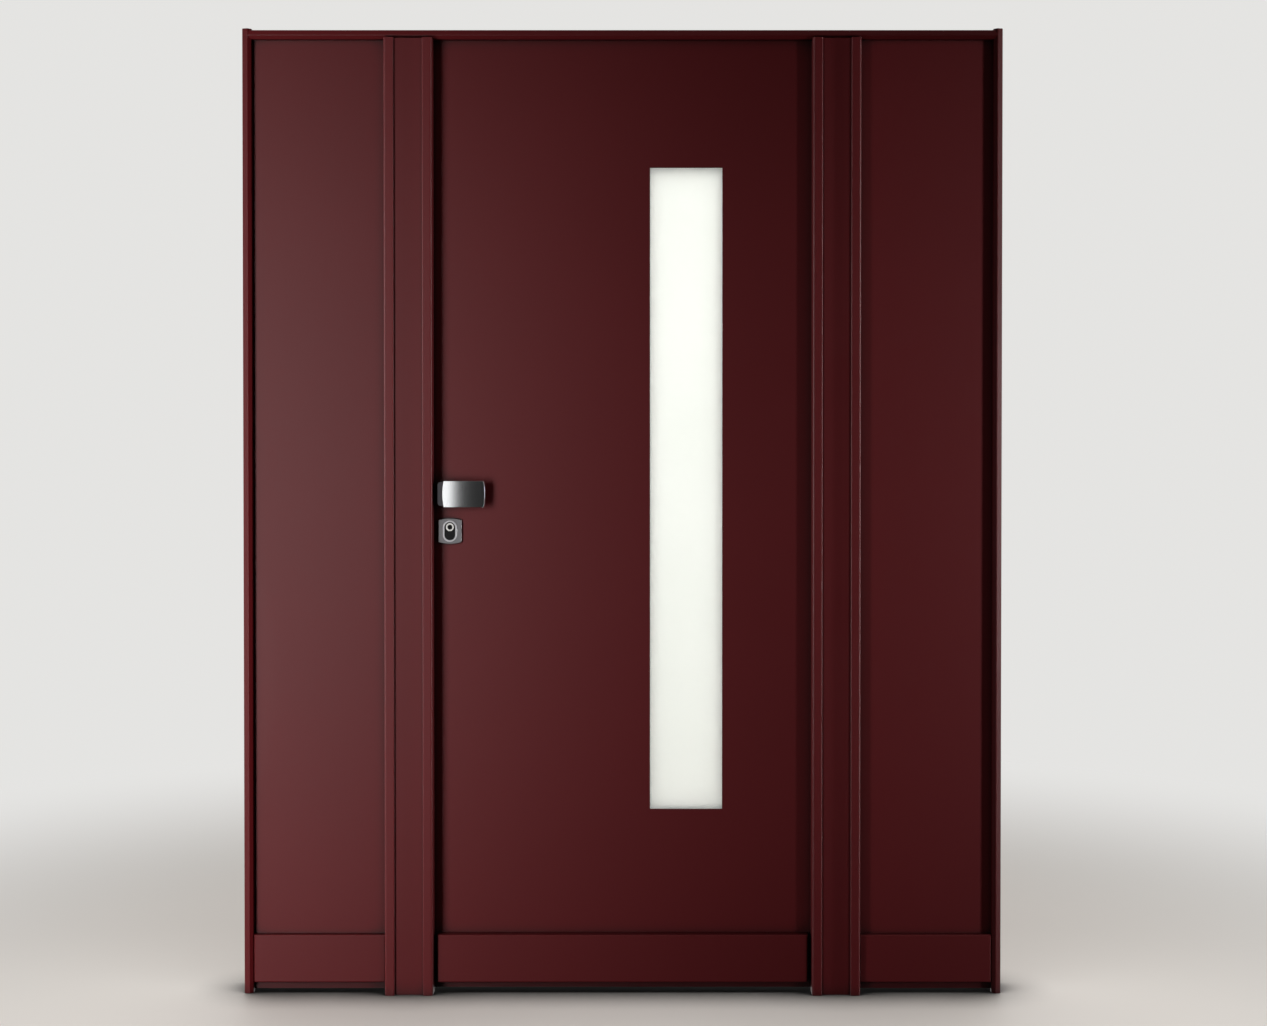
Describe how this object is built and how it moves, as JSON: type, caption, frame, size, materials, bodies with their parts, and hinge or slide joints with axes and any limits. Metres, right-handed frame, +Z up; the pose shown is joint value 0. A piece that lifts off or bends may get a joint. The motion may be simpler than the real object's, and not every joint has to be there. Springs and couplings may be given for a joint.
{
  "type": "security door",
  "caption": "Wine-red steel security door set: a hinged leaf with a tall frosted-glass slot, pull plate and keyed lock, between pilaster mullions and fixed side panels.",
  "frame": {"origin": "Middle of the foot of the hinge post, on the floor.", "axes": "+X runs to the right as seen from outside, +Y runs from outside to inside, +Z is up."},
  "size_m": [1.69, 0.157, 2.15],
  "materials": {
    "wine_red_paint": "satin",
    "frosted_glass": "matte",
    "black_rubber": "matte",
    "polished_chrome": "polished",
    "satin_nickel": "satin",
    "bright_nickel": "satin",
    "dark_nickel": "satin",
    "dark_steel": "satin",
    "black_guard": "satin",
    "hinge_steel": "satin"
  },
  "bodies": {
    "frame": {"left_jamb": "wine_red_paint", "right_jamb": "wine_red_paint", "head_rail": "wine_red_paint", "lock_post": "wine_red_paint", "hinge_post": "wine_red_paint", "lock_side_cover": "wine_red_paint", "hinge_side_cover": "wine_red_paint", "left_panel_outer_skin": "wine_red_paint", "left_panel_inner_skin": "wine_red_paint", "right_panel_outer_skin": "wine_red_paint", "right_panel_inner_skin": "wine_red_paint", "left_kick_box": "wine_red_paint", "right_kick_box": "wine_red_paint", "hinge_side_seal": "black_rubber", "lock_side_seal": "black_rubber", "head_seal": "black_rubber", "lower_hinge_post_knuckle": "hinge_steel", "middle_hinge_post_knuckle": "hinge_steel", "upper_hinge_post_knuckle": "hinge_steel"},
    "leaf": {"leaf_outer_skin": "wine_red_paint", "leaf_inner_skin": "wine_red_paint", "leaf_kick_box": "wine_red_paint", "vision_glass": "frosted_glass", "glass_gasket": "black_rubber", "glazing_frame": "wine_red_paint", "lock_faceplate": "satin_nickel", "lock_bolts": "satin_nickel", "latch_bolt": "satin_nickel", "pull_base": "dark_nickel", "pull_plate": "polished_chrome", "outer_escutcheon": "satin_nickel", "cylinder_guard": "black_guard", "lock_cylinder": "bright_nickel", "inner_escutcheon": "satin_nickel", "lever_rose": "satin_nickel", "inner_lever": "satin_nickel", "lower_hinge_leaf_knuckle": "hinge_steel", "middle_hinge_leaf_knuckle": "hinge_steel", "upper_hinge_leaf_knuckle": "hinge_steel"},
    "plug": {"cylinder_plug": "dark_steel"}
  },
  "joints": [
    {"name": "leaf_hinge", "type": "hinge", "parent": "frame", "child": "leaf", "pos_m": [-0.0365, 0.0445, 1.07], "axis": [0, 0, -1], "range_deg": [0, 110]},
    {"name": "plug_turn", "type": "hinge", "parent": "leaf", "child": "plug", "pos_m": [-0.862, -0.0315, 1.041], "axis": [0, 1, 0], "continuous": true}
  ]
}
